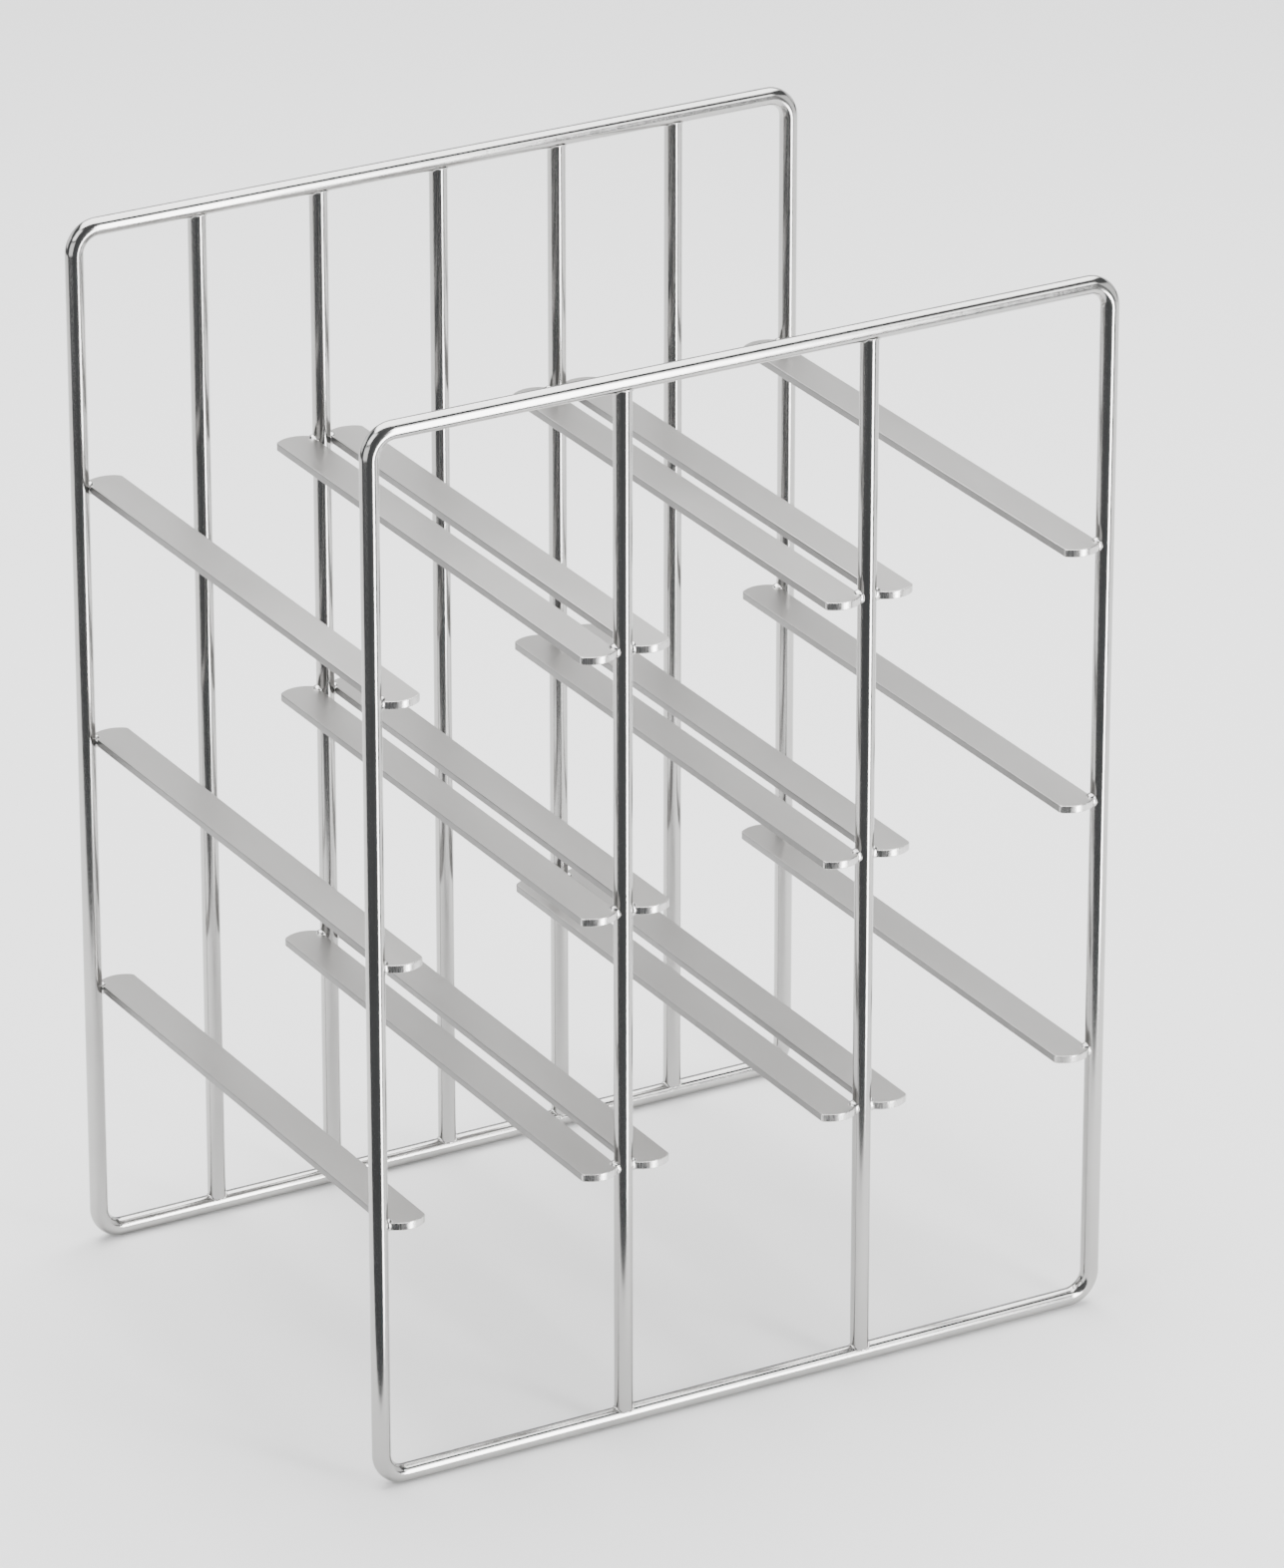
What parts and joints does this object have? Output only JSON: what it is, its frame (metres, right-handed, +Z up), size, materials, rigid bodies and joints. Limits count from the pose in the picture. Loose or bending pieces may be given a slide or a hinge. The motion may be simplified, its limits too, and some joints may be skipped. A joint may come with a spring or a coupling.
{
  "type": "wine rack",
  "caption": "Free-standing wine rack: two round-rod rectangular frames joined by flat steel rails that carry bottles lying on their sides.",
  "frame": {"origin": "on the floor, in the middle of the rack's footprint", "axes": "+X to the right seen from the front, +Y towards the back frame with the bottle stops, +Z up"},
  "size_m": [0.31, 0.24, 0.416],
  "materials": {
    "rod_steel": "satin-polished round rod",
    "rail_steel": "fine satin flat bar with polished edges",
    "weld_steel": "bright polished weld bead"
  },
  "bodies": {
    "root": {"front_frame": "rod_steel", "back_frame": "rod_steel", "front_upright_1": "rod_steel", "front_upright_2": "rod_steel", "back_upright_1": "rod_steel", "back_upright_2": "rod_steel", "bottle_stop_1": "rod_steel", "bottle_stop_2": "rod_steel", "bottle_stop_3": "rod_steel", "bottom_rail_1": "rail_steel", "bottom_rail_2": "rail_steel", "bottom_rail_3": "rail_steel", "bottom_rail_4": "rail_steel", "bottom_rail_5": "rail_steel", "bottom_rail_6": "rail_steel", "middle_rail_1": "rail_steel", "middle_rail_2": "rail_steel", "middle_rail_3": "rail_steel", "middle_rail_4": "rail_steel", "middle_rail_5": "rail_steel", "middle_rail_6": "rail_steel", "top_rail_1": "rail_steel", "top_rail_2": "rail_steel", "top_rail_3": "rail_steel", "top_rail_4": "rail_steel", "top_rail_5": "rail_steel", "top_rail_6": "rail_steel", "front_rail_welds": "weld_steel", "back_rail_welds": "weld_steel", "front_upright_welds": "weld_steel", "back_upright_welds": "weld_steel"}
  },
  "joints": []
}
